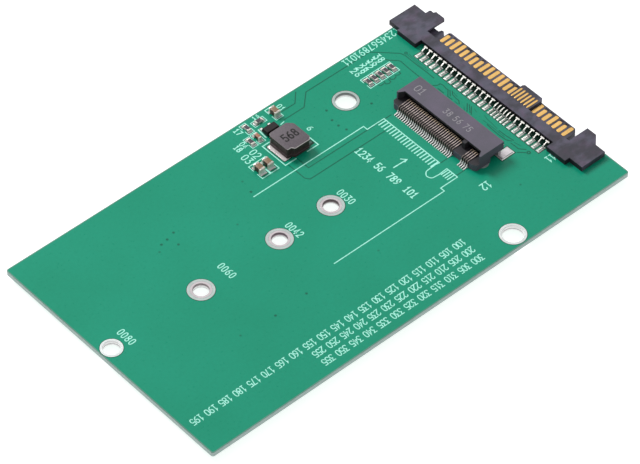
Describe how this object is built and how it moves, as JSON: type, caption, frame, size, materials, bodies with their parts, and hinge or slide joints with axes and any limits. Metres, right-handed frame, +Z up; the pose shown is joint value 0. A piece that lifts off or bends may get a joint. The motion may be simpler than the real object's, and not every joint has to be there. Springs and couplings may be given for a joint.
{
  "type": "solid-state module to drive bay adapter card",
  "caption": "Flat green circuit board with an edge card socket, a drive bay plug on one end and a small step-down regulator, for fitting a module in a drive bay.",
  "frame": {"origin": "centre of the board's flat underside", "axes": "+X along the board towards the drive plug, +Y across it, +Z up out of the component side"},
  "size_m": [0.0986, 0.0556, 0.0052],
  "materials": {
    "board_laminate": "green solder mask over glass-fibre laminate, satin gloss",
    "plug_plastic": "black glass-filled plastic, fine grain",
    "socket_plastic": "black glass-filled plastic, fine grain",
    "plug_contact_metal": "copper alloy, gold on the blades and tin on the tails",
    "socket_contact_metal": "copper alloy, gold at the tips and tin on the tails",
    "tinned_steel": "tin plated sheet",
    "tin_plate": "bright tin, solder wetted",
    "ferrite": "ground ferrite, matt dark grey",
    "copper_wire": "enamelled copper",
    "coil_resin": "magnetic powder resin",
    "chip_moulding": "black epoxy moulding",
    "tan_ceramic": "sintered ceramic, dull",
    "brown_ceramic": "sintered ceramic, dull",
    "resistor_body": "dark glass overcoat on a white ceramic chip"
  },
  "bodies": {
    "root": {"card_socket_housing": "socket_plastic", "circuit_board": "board_laminate", "coil_core": "ferrite", "coil_resin_fill": "coil_resin", "coil_terminals": "tin_plate", "coil_winding": "copper_wire", "controller_body": "chip_moulding", "controller_leads": "tin_plate", "divider_resistor_body": "resistor_body", "divider_resistor_end_caps": "tin_plate", "drive_plug_housing": "plug_plastic", "enable_resistor_body": "resistor_body", "enable_resistor_end_caps": "tin_plate", "feedback_capacitor_body": "brown_ceramic", "feedback_capacitor_end_caps": "tin_plate", "feedback_resistor_body": "resistor_body", "feedback_resistor_end_caps": "tin_plate", "input_capacitor_body": "tan_ceramic", "input_capacitor_end_caps": "tin_plate", "lower_contacts": "plug_contact_metal", "output_capacitor_a_body": "tan_ceramic", "output_capacitor_a_end_caps": "tin_plate", "output_capacitor_b_body": "tan_ceramic", "output_capacitor_b_end_caps": "tin_plate", "plug_board_locks": "tinned_steel", "power_contacts": "plug_contact_metal", "sideband_contacts": "plug_contact_metal", "signal_contacts": "plug_contact_metal", "socket_front_contacts": "socket_contact_metal", "socket_hold_downs": "tinned_steel", "socket_rear_contacts": "socket_contact_metal", "strap_resistor_1_body": "resistor_body", "strap_resistor_1_end_caps": "tin_plate", "strap_resistor_2_body": "resistor_body", "strap_resistor_2_end_caps": "tin_plate", "strap_resistor_3_body": "resistor_body", "strap_resistor_3_end_caps": "tin_plate", "strap_resistor_4_body": "resistor_body", "strap_resistor_4_end_caps": "tin_plate", "strap_resistor_5_body": "resistor_body", "strap_resistor_5_end_caps": "tin_plate"}
  },
  "joints": []
}
